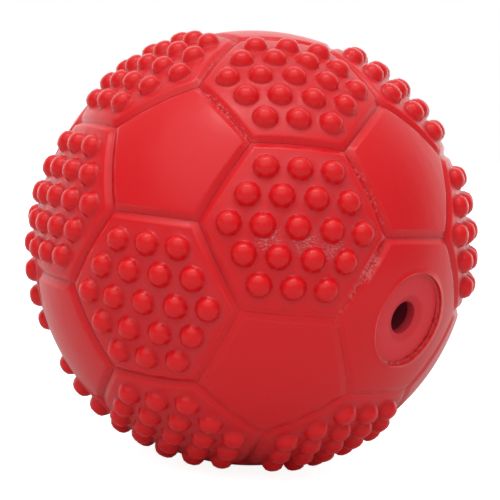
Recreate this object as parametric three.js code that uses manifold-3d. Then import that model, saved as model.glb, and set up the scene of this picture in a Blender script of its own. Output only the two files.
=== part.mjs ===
// Squeaky rubber ball
//
// A hollow rubber ball, moulded in two halves that meet at the bottom of the grooves. Its skin is
// a truncated icosahedron: twelve smooth pentagons and twenty hexagons. Nineteen hexagons carry a
// field of domed nubs, and the twentieth is smooth and holds the squeaker.
//
// Millimetres. The origin is the ball's centre. +Z runs through the top pentagon, the ball rests
// on the bottom pentagon, and the YZ plane is a mirror plane of the panel pattern.

import * as THREE from "three";
import { mergeVertices } from "three/addons/utils/BufferGeometryUtils.js";
import Module from "manifold-3d";

const wasm = await Module();
wasm.setup();

// Ball
const ballDiameter = 75; // over the tips of the nubs
const wallThickness = 3.5;
const seamGap = 0.3; // between the two halves

// Nubs
const nubHeight = 1.6;
const nubRadius = 2.0; // where the dome meets the panel
const nubSpacing = 1.25; // of floor between the feet of neighbouring nubs

// Grooves between the panels
const grooveDepth = 0.55;
const grooveBankWidth = 1.6; // from a groove's bottom to the shoulder of the panel beside it

// Squeaker housing: a flange with the sound hole, and a barrel behind it
const flangeRadius = 7.2;
const flangeThickness = 1.6;
const flangeBevelWidth = 0.6; // round the edge of the flange's face
const flangeBevelDrop = 0.25;
const faceRecess = 0.7; // of the flange's face below the lip of its socket
const fitGap = 0.3; // between any two pieces that seat on each other
const soundHoleRadius = 2.6;
const soundHoleLength = 2.1; // from the flange's face
const throatRadius = 3.3; // of the wider bore behind the sound hole
const throatLength = 3.4;
const countersinkRadius = 3.8;
const countersinkDepth = 0.6;
const barrelRadius = 5.0;
const housingLength = 15;
const chamberRadius = 3.9;
const barbRadius = 6.3;
const barbLength = 2.2;

// Thickened ring of the wall that the housing's barrel passes through
const bossRadius = 9.5;
const bossThickness = 2.6; // between the socket's floor and the boss's inner face
const bossFlare = 1.0; // of the boss's side towards the wall

// Bead of rubber cement round the edge of the flange
const beadThickness = 0.4;

// Reed unit
const seatRootLength = 2.5;
const seatTongueRadius = 2.7;
const seatTongueLength = 4.6;
const troughRadius = 1.4;
const troughEndWall = 0.8;
const reedWidth = 4.0;
const reedThickness = 0.3;
const reedLength = 6.4;

// Vented cap over the inner end of the barrel
const capWall = 0.8;
const capSkirtLength = 3.0;
const capEndThickness = 1.0;
const ventRadius = 1.5;

// Fineness of the mesh
const grooveSteps = 3; // straight steps along one side of a panel
const roundSides = 32;

const cutOverrun = 1; // of a cut past the face where it ends

const tipRadius = ballDiameter / 2;
const panelRadius = tipRadius - nubHeight;
const grooveRadius = panelRadius - grooveDepth;
const innerRadius = panelRadius - wallThickness;
const nubPitch = 2 * nubRadius + nubSpacing;

// Solids

function solidOf(geometry) {
  const bare = geometry.index ? geometry.toNonIndexed() : geometry.clone();
  bare.deleteAttribute("normal");
  bare.deleteAttribute("uv");
  const merged = mergeVertices(bare, 1e-5);
  return new wasm.Manifold(
    new wasm.Mesh({
      numProp: 3,
      vertProperties: new Float32Array(merged.attributes.position.array),
      triVerts: new Uint32Array(merged.index.array),
    }),
  );
}

function geometryOf(solid) {
  const { vertProperties, triVerts } = solid.getMesh();
  const geometry = new THREE.BufferGeometry();
  geometry.setAttribute("position", new THREE.BufferAttribute(vertProperties, 3));
  geometry.setIndex(new THREE.BufferAttribute(triVerts, 1));
  geometry.computeVertexNormals();
  return geometry;
}

function joined(first, ...others) {
  return others.reduce((whole, other) => whole.add(other), first);
}

function cut(first, ...others) {
  return others.reduce((whole, other) => whole.subtract(other), first);
}

// A lathe turned about +Z from [radius, height] pairs that begin and end on the axis
function turned(profile, sides = roundSides) {
  const points = profile.map(([radius, height]) => new THREE.Vector2(radius, height));
  return new THREE.LatheGeometry(points, sides).rotateX(Math.PI / 2);
}

function rod(radius, low, high, sides = roundSides) {
  return turned([[0, low], [radius, low], [radius, high], [0, high]], sides);
}

// Geometry of triangles given as lists of three points
function geometryOfTriangles(triangles) {
  const geometry = new THREE.BufferGeometry();
  const positions = triangles.flat().flatMap((point) => point.toArray());
  geometry.setAttribute("position", new THREE.Float32BufferAttribute(positions, 3));
  return geometry;
}

// Panels of the ball

// The twelve corners of an icosahedron, which are the centres of the pentagons
function pentagonCentres() {
  const height = 1 / Math.sqrt(5);
  const reach = 2 / Math.sqrt(5);
  const centres = [new THREE.Vector3(0, 0, 1), new THREE.Vector3(0, 0, -1)];
  for (let step = 0; step < 5; step += 1) {
    const upper = THREE.MathUtils.degToRad(18 + 72 * step);
    const lower = THREE.MathUtils.degToRad(54 + 72 * step);
    centres.push(new THREE.Vector3(reach * Math.cos(upper), reach * Math.sin(upper), height));
    centres.push(new THREE.Vector3(reach * Math.cos(lower), reach * Math.sin(lower), -height));
  }
  return centres;
}

const icosahedronEdge = Math.sqrt(2 - 2 / Math.sqrt(5));

function areNeighbours(a, b) {
  return Math.abs(a.distanceTo(b) - icosahedronEdge) < 1e-6;
}

// A panel's corner lies a third of the way along an icosahedron's edge
function cornerBetween(near, far) {
  return near.clone().lerp(far, 1 / 3).normalize();
}

// Directions sorted counterclockwise about an axis, seen from outside
function sortedAbout(axis, directions) {
  const right = directions[0].clone().projectOnPlane(axis).normalize();
  const up = axis.clone().cross(right);
  const angle = (direction) => Math.atan2(direction.dot(up), direction.dot(right));
  return [...directions].sort((a, b) => angle(a) - angle(b));
}

function pentagonPanels(centres) {
  return centres.map((axis) => {
    const corners = centres.filter((other) => areNeighbours(axis, other));
    return {
      axis,
      corners: sortedAbout(axis, corners.map((other) => cornerBetween(axis, other))),
      isHexagon: false,
    };
  });
}

function hexagonPanels(centres) {
  const panels = [];
  centres.forEach((a, i) => {
    centres.slice(i + 1).filter((b) => areNeighbours(a, b)).forEach((b) => {
      const after = centres.slice(centres.indexOf(b) + 1);
      after.filter((c) => areNeighbours(a, c) && areNeighbours(b, c)).forEach((c) => {
        const axis = a.clone().add(b).add(c).normalize();
        const pairs = [[a, b], [b, a], [b, c], [c, b], [c, a], [a, c]];
        const corners = pairs.map(([near, far]) => cornerBetween(near, far));
        panels.push({ axis, corners: sortedAbout(axis, corners), isHexagon: true });
      });
    });
  });
  return panels;
}

// Directions along a panel's outline, in even steps from each corner to the next
function outlineOf(panel) {
  return panel.corners.flatMap((corner, side) => {
    const next = panel.corners[(side + 1) % panel.corners.length];
    const angle = corner.angleTo(next);
    return Array.from({ length: grooveSteps }, (_, step) => {
      const share = step / grooveSteps;
      const a = Math.sin((1 - share) * angle) / Math.sin(angle);
      const b = Math.sin(share * angle) / Math.sin(angle);
      return corner.clone().multiplyScalar(a).addScaledVector(next, b);
    });
  });
}

// The distance from a panel's centre to its sides, on a plane that touches the ball there
function reachToSide(panel) {
  const middle = panel.corners[0].clone().add(panel.corners[1]).normalize();
  return panelRadius * Math.tan(panel.axis.angleTo(middle));
}

// A direction drawn towards a panel's axis, by a share of its distance from it
function drawnIn(axis, direction, share) {
  const onPlane = direction.clone().divideScalar(direction.dot(axis));
  return axis.clone().lerp(onPlane, share).normalize();
}

const centres = pentagonCentres();
const panels = [...pentagonPanels(centres), ...hexagonPanels(centres)];

// The smooth hexagon that holds the squeaker, low on the right of the front
const squeakerLongitude = THREE.MathUtils.degToRad(-54);
const squeakerSide = new THREE.Vector3(Math.cos(squeakerLongitude), Math.sin(squeakerLongitude), -0.2);
const squeakerPanel = panels
  .filter((panel) => panel.isHexagon)
  .reduce((best, panel) => (panel.axis.dot(squeakerSide) > best.axis.dot(squeakerSide) ? panel : best));

// Seam

// The mould opens along the axis of a lower pentagon, so the seam zigzags between sixteen panels
// on one side and sixteen on the other
const mouldLongitude = THREE.MathUtils.degToRad(-162);
const mouldSide = new THREE.Vector3(Math.cos(mouldLongitude), Math.sin(mouldLongitude), -0.5);
const mouldAxis = centres.reduce((best, axis) => (axis.dot(mouldSide) > best.dot(mouldSide) ? axis : best));

const keyOf = (direction) => direction.toArray().map((value) => Math.round(value * 1e5) + 0).join(" ");

// The steps of the outlines that only one panel of a half has, from each step to the next
function seamOf(half) {
  const next = new Map();
  half.forEach((panel) => {
    const outline = outlineOf(panel);
    outline.forEach((from, i) => {
      const to = outline[(i + 1) % outline.length];
      const back = keyOf(to) + "|" + keyOf(from);
      if (next.has(back)) {
        next.delete(back);
      } else {
        next.set(keyOf(from) + "|" + keyOf(to), [from, to]);
      }
    });
  });
  const steps = new Map([...next.values()].map(([from, to]) => [keyOf(from), { from, to }]));
  const seam = [];
  let at = steps.values().next().value;
  while (seam.length < steps.size) {
    seam.push(at.from);
    at = steps.get(keyOf(at.to));
  }
  return seam;
}

// Each direction on the seam, moved into its half so that the halves stand seamGap apart
function shiftedSeam(seam) {
  const shift = seamGap / 2 / innerRadius;
  const shifted = new Map();
  seam.forEach((here, i) => {
    const before = seam[(i + seam.length - 1) % seam.length];
    const after = seam[(i + 1) % seam.length];
    const inFirst = before.clone().cross(here).normalize();
    const inSecond = here.clone().cross(after).normalize();
    const miter = inFirst.clone().add(inSecond).divideScalar(1 + inFirst.dot(inSecond));
    shifted.set(keyOf(here), here.clone().addScaledVector(miter, shift).normalize());
  });
  return shifted;
}

// Nubs of one hexagon, on a lattice of equal triangles with rows that run from corner to corner.
// A place on the lattice is [column, row]. Its six sides face its neighbours, counterclockwise.

const latticeSteps = [[1, 0], [0, 1], [-1, 1], [-1, 0], [0, -1], [1, -1]];
const nubSides = latticeSteps.length;
const sideOf = (turns) => THREE.MathUtils.euclideanModulo(turns, nubSides);

function stepped([column, row], side) {
  const [across, up] = latticeSteps[sideOf(side)];
  return [column + across, row + up];
}

function latticeDirection(panel, [column, row]) {
  const towardsCorner = panel.corners[0].clone().projectOnPlane(panel.axis).normalize();
  const across = panel.axis.clone().cross(towardsCorner);
  const place = panel.axis.clone().multiplyScalar(panelRadius);
  place.addScaledVector(towardsCorner, nubPitch * (column + row / 2));
  place.addScaledVector(across, nubPitch * row * Math.sin(Math.PI / 3));
  return place.normalize();
}

// The places of one hexagonal ring about the centre, counterclockwise, each with the sides that
// face the places before and after it on the ring
function latticeRing(ring) {
  const places = [];
  let place = [ring, 0];
  latticeSteps.forEach((_, corner) => {
    for (let step = 0; step < ring; step += 1) {
      const after = sideOf(corner + 2);
      const before = sideOf(step === 0 ? corner + 4 : corner + 5);
      places.push({ place, before, after });
      place = stepped(place, after);
    }
  });
  return ring === 0 ? [{ place, before: 0, after: 0 }] : places;
}

// A nub's six-sided rings are this much wider than a round nub's, which keeps their area
const facetGrowth = Math.sqrt((2 * Math.PI) / (nubSides * Math.sin((2 * Math.PI) / nubSides)));
const nubFootRadius = nubRadius * facetGrowth;

// The last row of nubs that still stands clear of the shoulder
function lastNubRow(panel) {
  const field = reachToSide(panel) - grooveBankWidth - nubFootRadius;
  return Math.floor(field / (nubPitch * Math.sin(Math.PI / 3)));
}

// One domed nub: its foot, a ring halfway up the dome, and its tip. The foot's corners point at
// the gaps between its neighbours.
function nubAt(panel, place) {
  const axis = latticeDirection(panel, place);
  const sides = latticeSteps.map((_, side) => {
    const first = latticeDirection(panel, stepped(place, side));
    const second = latticeDirection(panel, stepped(place, side + 1));
    return first.add(second).projectOnPlane(axis).normalize();
  });
  const ringAt = (radius, height) =>
    sides.map((side) => axis.clone().multiplyScalar(height).addScaledVector(side, radius));
  const domeRadius = (nubRadius ** 2 + nubHeight ** 2) / (2 * nubHeight);
  const halfway = Math.acos(1 - nubHeight / domeRadius) / 2;
  const ringHeight = tipRadius - domeRadius * (1 - Math.cos(halfway));
  const foot = ringAt(nubFootRadius, panelRadius).map((point) => point.setLength(panelRadius));
  const ring = ringAt(domeRadius * Math.sin(halfway) * facetGrowth, ringHeight);
  const tip = axis.clone().multiplyScalar(tipRadius);
  return { place, foot, triangles: [...strip(foot, ring), ...fan(tip, ring)] };
}

// The floor between the feet of neighbouring nubs
function floorBetween(nubs) {
  const beside = (nub, side) => nubs.get(stepped(nub.place, side).join());
  const corner = (nub, side) => nub.foot[sideOf(side)];
  const triangles = [];
  nubs.forEach((nub) => {
    [0, 1, 2].forEach((side) => {
      const next = beside(nub, side);
      const third = beside(nub, side + 1);
      if (next) {
        const near = [corner(nub, side - 1), corner(nub, side)];
        const far = [corner(next, side + 3), corner(next, side + 2)];
        triangles.push([near[0], far[0], far[1]], [near[0], far[1], near[1]]);
      }
      if (next && third && side < 2) {
        triangles.push([corner(nub, side), corner(next, side + 2), corner(third, side + 4)]);
      }
    });
  });
  return triangles;
}

// All that lies inside the shoulder of a nubbed hexagon
function nubField(panel, shoulder) {
  const nubs = new Map();
  const last = lastNubRow(panel);
  for (let ring = 0; ring <= last; ring += 1) {
    latticeRing(ring).forEach(({ place }) => nubs.set(place.join(), nubAt(panel, place)));
  }
  const edge = latticeRing(last).flatMap(({ place, before, after }) => {
    const count = sideOf(after - before) || nubSides;
    return Array.from({ length: count }, (_, step) => nubs.get(place.join()).foot[sideOf(before + step)]);
  });
  const domes = [...nubs.values()].flatMap((nub) => nub.triangles);
  return [...domes, ...floorBetween(nubs), ...band(panel, shoulder, edge)];
}

// Skins of the shell

function strip(lower, upper) {
  return lower.flatMap((point, i) => {
    const next = (i + 1) % lower.length;
    return [[point, lower[next], upper[next]], [point, upper[next], upper[i]]];
  });
}

function fan(centre, ring) {
  return ring.map((point, i) => [point, ring[(i + 1) % ring.length], centre]);
}

// A ring's points in order of their angles about a panel's axis, with the first one repeated
function swept(panel, ring) {
  const right = panel.corners[0].clone().projectOnPlane(panel.axis).normalize();
  const up = panel.axis.clone().cross(right);
  const angled = ring.map((point) => {
    const angle = Math.atan2(point.dot(up), point.dot(right));
    return { point, angle: angle < -1e-6 ? angle + 2 * Math.PI : angle };
  });
  angled.sort((a, b) => a.angle - b.angle);
  return [...angled, { point: angled[0].point, angle: angled[0].angle + 2 * Math.PI }];
}

// Triangles between two rings round a panel's axis, joined at like angles about it
function band(panel, outer, inner) {
  const outside = swept(panel, outer);
  const inside = swept(panel, inner);
  const triangles = [];
  let i = 0;
  let j = 0;
  while (i < outer.length || j < inner.length) {
    const [from, across] = [outside[i].point, inside[j].point];
    if (j === inner.length || outside[i + 1]?.angle <= inside[j + 1].angle) {
      i += 1;
      triangles.push([from, outside[i].point, across]);
    } else {
      j += 1;
      triangles.push([from, inside[j].point, across]);
    }
  }
  return triangles;
}

// A smooth skin inside a ring of points, domed like the ball
function domedField(panel, ring) {
  const radius = ring[0].length();
  const halfway = panel.corners.map((corner) => drawnIn(panel.axis, corner, 0.5).multiplyScalar(radius));
  return [...band(panel, ring, halfway), ...fan(panel.axis.clone().multiplyScalar(radius), halfway)];
}

// A panel's outer skin: the bank from the groove up to the shoulder, and the field inside.
// The shift moves the directions that lie on the seam.
function outerSkin(panel, shift) {
  const outline = outlineOf(panel);
  const shoulderShare = 1 - grooveBankWidth / reachToSide(panel);
  const groove = outline.map((direction) => shift(direction).multiplyScalar(grooveRadius));
  const shoulder = outline.map((direction) =>
    drawnIn(panel.axis, direction, shoulderShare).multiplyScalar(panelRadius),
  );
  const hasNubs = panel.isHexagon && panel !== squeakerPanel;
  const field = hasNubs ? nubField(panel, shoulder) : domedField(panel, shoulder);
  return [...strip(groove, shoulder), ...field];
}

function innerSkin(panel, shift) {
  const outline = outlineOf(panel).map((direction) => shift(direction).multiplyScalar(innerRadius));
  return domedField(panel, outline).map(([a, b, c]) => [a, c, b]);
}

function rim(seam, shift) {
  const outer = seam.map((direction) => shift(direction).multiplyScalar(grooveRadius));
  const inner = seam.map((direction) => shift(direction).multiplyScalar(innerRadius));
  return strip(inner, outer);
}

function halfShell(half) {
  const seam = seamOf(half);
  const shifted = shiftedSeam(seam);
  const shift = (direction) => (shifted.get(keyOf(direction)) ?? direction).clone();
  const triangles = half.flatMap((panel) => [...outerSkin(panel, shift), ...innerSkin(panel, shift)]);
  return solidOf(geometryOfTriangles([...triangles, ...rim(seam, shift)]));
}

// A turn that carries +Z onto a direction and keeps its X side towards a second one
function facing(direction, side) {
  const z = direction.clone();
  const x = side.clone().projectOnPlane(z).normalize();
  const y = z.clone().cross(x);
  return new THREE.Matrix4().makeBasis(x, y, z);
}

// Squeaker, all of it turned about one axis that is the smooth hexagon's own.
// Heights are distances from the ball's centre along that axis.

const squeakerTurn = facing(
  squeakerPanel.axis,
  new THREE.Vector3(0, 0, 1).cross(squeakerPanel.axis),
);
const socketRadius = flangeRadius + fitGap;
const lipHeight = Math.sqrt(panelRadius ** 2 - socketRadius ** 2);
const faceHeight = lipHeight - faceRecess;
const flangeFoot = faceHeight - flangeThickness;
const socketFloor = flangeFoot - fitGap;
const bossFoot = socketFloor - bossThickness;
const barbTop = bossFoot - fitGap;
const housingFoot = faceHeight - housingLength;
const throatTop = faceHeight - soundHoleLength;
const chamberTop = throatTop - throatLength;

function boss() {
  const top = socketFloor - fitGap;
  return turned([[0, bossFoot], [bossRadius, bossFoot], [bossRadius + bossFlare, top], [0, top]]);
}

function socket() {
  const bore = barrelRadius + fitGap;
  const profile = [
    [0, bossFoot - cutOverrun],
    [bore, bossFoot - cutOverrun],
    [bore, socketFloor],
    [socketRadius, socketFloor],
    [socketRadius, tipRadius],
    [0, tipRadius],
  ];
  return turned(profile);
}

function withSocket(shell) {
  const added = joined(shell, solidOf(boss().applyMatrix4(squeakerTurn)));
  return cut(added, solidOf(socket().applyMatrix4(squeakerTurn)));
}

function housing() {
  const body = turned([
    [0, housingFoot],
    [barrelRadius, housingFoot],
    [barrelRadius, barbTop - barbLength],
    [barbRadius, barbTop],
    [barrelRadius, barbTop],
    [barrelRadius, flangeFoot],
    [flangeRadius, flangeFoot],
    [flangeRadius, faceHeight - flangeBevelDrop],
    [flangeRadius - flangeBevelWidth, faceHeight],
    [0, faceHeight],
  ]);
  const hole = turned([
    [0, housingFoot - cutOverrun],
    [chamberRadius, housingFoot - cutOverrun],
    [chamberRadius, chamberTop],
    [throatRadius, chamberTop],
    [throatRadius, throatTop],
    [soundHoleRadius, throatTop],
    [soundHoleRadius, faceHeight - countersinkDepth],
    [countersinkRadius, faceHeight],
    [countersinkRadius, faceHeight + cutOverrun],
    [0, faceHeight + cutOverrun],
  ]);
  return geometryOf(cut(solidOf(body), solidOf(hole)));
}

// A ring of cement that fills the corner between the flange's bevel and the socket's wall
function cementBead() {
  const outer = socketRadius - fitGap;
  const foot = faceHeight - flangeBevelDrop / 2 + fitGap;
  const points = [
    [outer, foot],
    [outer, foot + beadThickness],
    [outer - beadThickness, foot],
    [outer, foot],
  ];
  return turned(points);
}

// Reed unit. The reed lies flat over the seat's trough, with its root pinned under the wedge.
// The seat and the wedge are the two halves of one round plug that fills the chamber's top.

const plugRadius = chamberRadius - fitGap;
const plugTop = chamberTop - fitGap;
const rootFoot = plugTop - seatRootLength;
const seatFoot = rootFoot - seatTongueLength;
const reedCentre = fitGap + reedThickness / 2; // above the seat's flat top
const wedgeFoot = reedCentre + reedThickness / 2 + fitGap;
const reedTop = plugTop - fitGap;

// A block that takes away all that lies above or below a height across the plug
function halfSpace(from, to) {
  const width = 4 * chamberRadius;
  const depth = to - from;
  return new THREE.BoxGeometry(width, depth, width).translate(0, (from + to) / 2, (plugTop + seatFoot) / 2);
}

function reedSeat() {
  const root = solidOf(rod(plugRadius, rootFoot, plugTop));
  const tongue = solidOf(rod(seatTongueRadius, seatFoot, plugTop - seatRootLength / 2));
  const above = solidOf(halfSpace(0, 2 * chamberRadius));
  const trough = solidOf(rod(troughRadius, seatFoot + troughEndWall, plugTop + cutOverrun));
  return geometryOf(cut(joined(root, tongue), above, trough));
}

function reedWedge() {
  const root = solidOf(rod(plugRadius, rootFoot, plugTop));
  const below = solidOf(halfSpace(-2 * chamberRadius, wedgeFoot));
  return geometryOf(cut(root, below));
}

// The reed's own origin is its hinge line, at the wedge's inner edge
function reedTongue() {
  const half = reedWidth / 2;
  const above = reedTop - rootFoot;
  const below = reedLength - above;
  const outline = new THREE.Shape();
  outline.moveTo(-half, above);
  outline.lineTo(-half, half - below);
  outline.absarc(0, half - below, half, Math.PI, 2 * Math.PI, false);
  outline.lineTo(half, above);
  outline.closePath();
  const options = { depth: reedThickness, bevelEnabled: false, curveSegments: 8 };
  const film = new THREE.ExtrudeGeometry(outline, options);
  return film.translate(0, 0, -reedThickness / 2).rotateX(Math.PI / 2);
}

function inletCap() {
  const skirtTop = housingFoot + capSkirtLength;
  const inside = housingFoot - fitGap;
  const inner = barrelRadius + fitGap;
  const outer = inner + capWall;
  return turned([
    [ventRadius, inside - capEndThickness],
    [outer, inside - capEndThickness],
    [outer, skirtTop],
    [inner, skirtTop],
    [inner, inside],
    [ventRadius, inside],
    [ventRadius, inside - capEndThickness],
  ]);
}

// Assembly

function rubber(color) {
  return new THREE.MeshStandardMaterial({ color, roughness: 0.5, metalness: 0 });
}

function plastic(color, roughness) {
  return new THREE.MeshStandardMaterial({ color, roughness, metalness: 0 });
}

function named(name, geometry, material) {
  const mesh = new THREE.Mesh(geometry, material);
  mesh.name = name;
  return mesh;
}

const plainPanels = panels.filter((panel) => panel.axis.dot(mouldAxis) > 0);
const squeakerPanels = panels.filter((panel) => panel.axis.dot(mouldAxis) < 0);
const ballRed = 0xd6282b;

const ball = new THREE.Group();
ball.add(named("plain_half_shell", geometryOf(halfShell(plainPanels)), rubber(ballRed)));
const squeakerHalf = withSocket(halfShell(squeakerPanels));
ball.add(named("squeaker_half_shell", geometryOf(squeakerHalf), rubber(ballRed)));

const squeaker = new THREE.Group();
squeaker.applyMatrix4(squeakerTurn);
squeaker.add(named("squeaker_housing", housing(), plastic(0xc83a3f, 0.55)));
squeaker.add(named("cement_bead", cementBead(), rubber(0xb4151c)));
squeaker.add(named("reed_seat", reedSeat(), plastic(0xf1efe8, 0.45)));
squeaker.add(named("reed_wedge", reedWedge(), plastic(0xf1efe8, 0.45)));
squeaker.add(named("inlet_cap", inletCap(), plastic(0xf1efe8, 0.45)));
const reed = named("reed", reedTongue(), plastic(0xe9d9a8, 0.3));
reed.position.set(0, reedCentre, rootFoot);
squeaker.add(reed);
ball.add(squeaker);

export default ball;
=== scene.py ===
"""Squeaky rubber ball: the fine surfaces and finishes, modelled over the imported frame.

Every panel of the ball is modelled once, flat, on a plane that touches the ball over the panel's
centre. It is then wrapped onto the ball, copied to each place where the ball has such a panel, and
joined with its neighbours into the two moulded halves.
"""

import logging
import math
from contextlib import contextmanager
from dataclasses import dataclass
from enum import Enum
from itertools import combinations, pairwise
from typing import Callable, Iterable, Iterator, Sequence

import bmesh
import bpy
from mathutils import Matrix, Vector, noise
from mathutils.kdtree import KDTree


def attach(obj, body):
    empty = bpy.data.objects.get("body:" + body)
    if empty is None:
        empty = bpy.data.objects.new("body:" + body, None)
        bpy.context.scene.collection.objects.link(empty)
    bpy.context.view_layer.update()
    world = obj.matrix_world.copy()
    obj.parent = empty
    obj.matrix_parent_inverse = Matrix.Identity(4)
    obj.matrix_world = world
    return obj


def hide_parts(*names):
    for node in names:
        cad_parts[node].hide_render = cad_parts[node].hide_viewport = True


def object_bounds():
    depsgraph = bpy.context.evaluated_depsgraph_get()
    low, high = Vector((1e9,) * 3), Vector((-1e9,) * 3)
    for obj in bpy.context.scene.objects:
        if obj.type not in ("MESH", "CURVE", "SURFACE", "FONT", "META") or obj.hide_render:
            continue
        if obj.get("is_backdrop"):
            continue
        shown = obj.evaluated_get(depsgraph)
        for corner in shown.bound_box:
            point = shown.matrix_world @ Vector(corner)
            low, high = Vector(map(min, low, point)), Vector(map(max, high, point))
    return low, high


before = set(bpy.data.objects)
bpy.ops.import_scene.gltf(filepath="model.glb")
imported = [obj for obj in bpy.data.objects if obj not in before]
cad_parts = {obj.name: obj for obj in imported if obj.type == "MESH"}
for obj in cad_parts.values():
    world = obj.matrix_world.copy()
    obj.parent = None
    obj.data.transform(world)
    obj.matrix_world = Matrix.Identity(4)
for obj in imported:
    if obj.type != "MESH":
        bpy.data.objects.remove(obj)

LOG = logging.getLogger("squeaky_ball")
MM = 0.001
TOUCH = 0.01 * MM  # points that lie this near each other count as one
UP = Vector((0, 0, 1))

Piece = bpy.types.Object
Place = tuple[float, float]
Span = tuple[float, float]
Output = bpy.types.NodeSocket | bpy.types.Node


# Working in edit mode


def take_alone(piece: Piece) -> None:
    """Makes one piece active, with nothing else selected.

    Args:
        piece: The piece.
    """
    if bpy.context.object and bpy.context.object.mode != "OBJECT":
        bpy.ops.object.mode_set(mode="OBJECT")
    bpy.ops.object.select_all(action="DESELECT")
    piece.select_set(True)
    bpy.context.view_layer.objects.active = piece


@contextmanager
def editing(piece: Piece, mode: str = "EDGE") -> Iterator[None]:
    """Opens one piece in edit mode with nothing selected, and closes it again.

    Args:
        piece: The piece to edit.
        mode: The kind of element that selections hold: VERT, EDGE or FACE.

    Yields:
        Nothing; the piece is open inside the with block.
    """
    take_alone(piece)
    bpy.ops.object.mode_set(mode="EDIT")
    bpy.ops.mesh.select_mode(type=mode)
    bpy.ops.mesh.select_all(action="DESELECT")
    yield
    bpy.ops.object.mode_set(mode="OBJECT")


def pick(kind: str, wanted: Callable) -> None:
    """Selects elements of the piece that is open in edit mode.

    Args:
        kind: Which elements to look through: verts, edges or faces.
        wanted: Says whether an element is selected.
    """
    data = bpy.context.object.data
    mesh = bmesh.from_edit_mesh(data)
    for element in getattr(mesh, kind):
        if wanted(element):
            element.select_set(True)
    bmesh.update_edit_mesh(data)


def copied(piece: Piece, matrix: Matrix) -> Piece:
    """Copies a piece with a mesh of its own.

    Args:
        piece: The piece to copy.
        matrix: Where the copy goes; it ends up in the copy's mesh.

    Returns:
        The copy.
    """
    copy = piece.copy()
    copy.data = piece.data.copy()
    copy.data.transform(matrix)
    bpy.context.collection.objects.link(copy)
    return copy


def joined(name: str, pieces: Sequence[Piece], reach: float = TOUCH) -> Piece:
    """Joins pieces into one and merges the points where they meet.

    Args:
        name: The joined piece's name.
        pieces: The pieces; they are used up.
        reach: How near points lie that become one.

    Returns:
        The joined piece.
    """
    take_alone(pieces[0])
    for piece in pieces:
        piece.select_set(True)
    bpy.ops.object.join()
    whole = bpy.context.object
    whole.name = whole.data.name = name
    with editing(whole, "VERT"):
        bpy.ops.mesh.select_all(action="SELECT")
        bpy.ops.mesh.remove_doubles(threshold=reach)
    return whole


def grow_edge(scale: float, lift: float) -> None:
    """Extrudes the selected edges, lifts them along Z and resizes them about the Z axis.

    Args:
        scale: The new edges' reach from the axis, as a share of the old ones'.
        lift: How far the new edges rise above the old ones.
    """
    bpy.ops.mesh.extrude_edges_move(TRANSFORM_OT_translate={"value": (0, 0, lift)})
    bpy.ops.transform.resize(value=(scale, scale, 1), center_override=(0, 0, 0))


def smoothed(piece: Piece, angle: float) -> None:
    """Turns a piece's faces outwards and shades it smooth, but for its sharp edges.

    Args:
        piece: The piece.
        angle: The angle between two faces, in degrees, above which their edge stays sharp.
    """
    with editing(piece, "FACE"):
        bpy.ops.mesh.select_all(action="SELECT")
        bpy.ops.mesh.normals_make_consistent(inside=False)
    take_alone(piece)
    bpy.ops.object.shade_smooth_by_angle(angle=math.radians(angle))


def marks_on(piece: Piece, *names: str) -> list[bpy.types.Attribute]:
    """Adds number attributes to the points of a piece.

    Args:
        piece: The piece.
        *names: The attributes' names.

    Returns:
        The attributes, with every point at 0.
    """
    for name in names:
        piece.data.attributes.new(name, "FLOAT", "POINT")
    return [piece.data.attributes[name] for name in names]


def circle(sides: int, radius: float, height: float, turn: float = 0.0, fill: str = "NOTHING") -> Piece:
    """Adds a circle round the Z axis, with its place in its mesh.

    Args:
        sides: The circle's sides.
        radius: Distance from its middle to its corners.
        height: Its height.
        turn: The angle that it is turned by, in radians.
        fill: NOTHING for a ring of edges, or NGON for one face.

    Returns:
        The circle.
    """
    bpy.ops.mesh.primitive_circle_add(
        vertices=sides,
        radius=radius,
        fill_type=fill,
        location=(0, 0, height),
        rotation=(0, 0, turn),
    )
    piece = bpy.context.object
    take_alone(piece)
    bpy.ops.object.transform_apply(location=True, rotation=True, scale=True)
    return piece


def turned_ring(name: str, profile: Sequence[Place], sides: int) -> Piece:
    """Turns a closed profile about the Z axis, ring by ring.

    Args:
        name: The piece's name.
        profile: Radius and height of each ring, round the profile and back to the first.
        sides: Sides of each ring.

    Returns:
        The turned piece, closed.
    """
    piece = circle(sides, *profile[0])
    with editing(piece):
        bpy.ops.mesh.select_all(action="SELECT")
        for (radius, height), (next_radius, next_height) in zip(profile, [*profile[1:], profile[0]]):
            grow_edge(next_radius / radius, next_height - height)
    return joined(name, [piece])


# Finishes


def linear(colour: str) -> tuple[float, float, float, float]:
    """Turns an sRGB colour into linear light.

    Args:
        colour: The colour, as # and six hex digits.

    Returns:
        Linear red, green and blue, and an alpha of 1.
    """
    parts = [int(colour[start:start + 2], 16) / 255 for start in (1, 3, 5)]
    straight = [part / 12.92 if part <= 0.04045 else ((part + 0.055) / 1.055) ** 2.4 for part in parts]
    return (*straight, 1.0)


def emptied_tree(owner: bpy.types.Material | bpy.types.World) -> bpy.types.NodeTree:
    """Makes room for new nodes.

    Args:
        owner: A material or the world.

    Returns:
        Its node tree, empty.
    """
    owner.use_nodes = True
    owner.node_tree.nodes.clear()
    return owner.node_tree


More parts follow.
